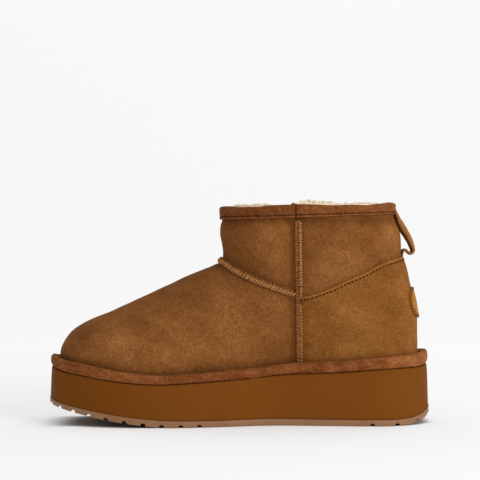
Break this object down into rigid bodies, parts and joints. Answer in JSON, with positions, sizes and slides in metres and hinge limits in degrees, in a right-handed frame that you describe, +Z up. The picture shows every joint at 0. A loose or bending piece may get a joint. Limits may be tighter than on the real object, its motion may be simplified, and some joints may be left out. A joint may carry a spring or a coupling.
{
  "type": "sheepskin boot",
  "caption": "Low suede sheepskin boot on a thick platform sole, with piping, raised seams, heel counter and pull loop.",
  "frame": {"origin": "middle of the boot's footprint box, on the floor", "axes": "toe towards -X, heel towards +X, inner (medial) side towards -Y, +Z up"},
  "size_m": [0.265, 0.1008, 0.1517],
  "materials": {
    "gum": "matt gum rubber",
    "foam": "smooth moulded foam",
    "piping": "rolled suede",
    "suede": "brushed suede",
    "binding": "suede binding",
    "fleece": "wool pile",
    "badge": "stitched patch"
  },
  "bodies": {
    "root": {"outsole": "gum", "midsole": "foam", "welt_piping": "piping", "insole": "fleece", "upper": "suede", "heel_counter": "suede", "side_seam_medial": "suede", "side_seam_lateral": "suede", "instep_seam": "suede", "collar_binding": "binding", "pull_loop": "binding", "heel_badge": "badge"}
  },
  "joints": []
}
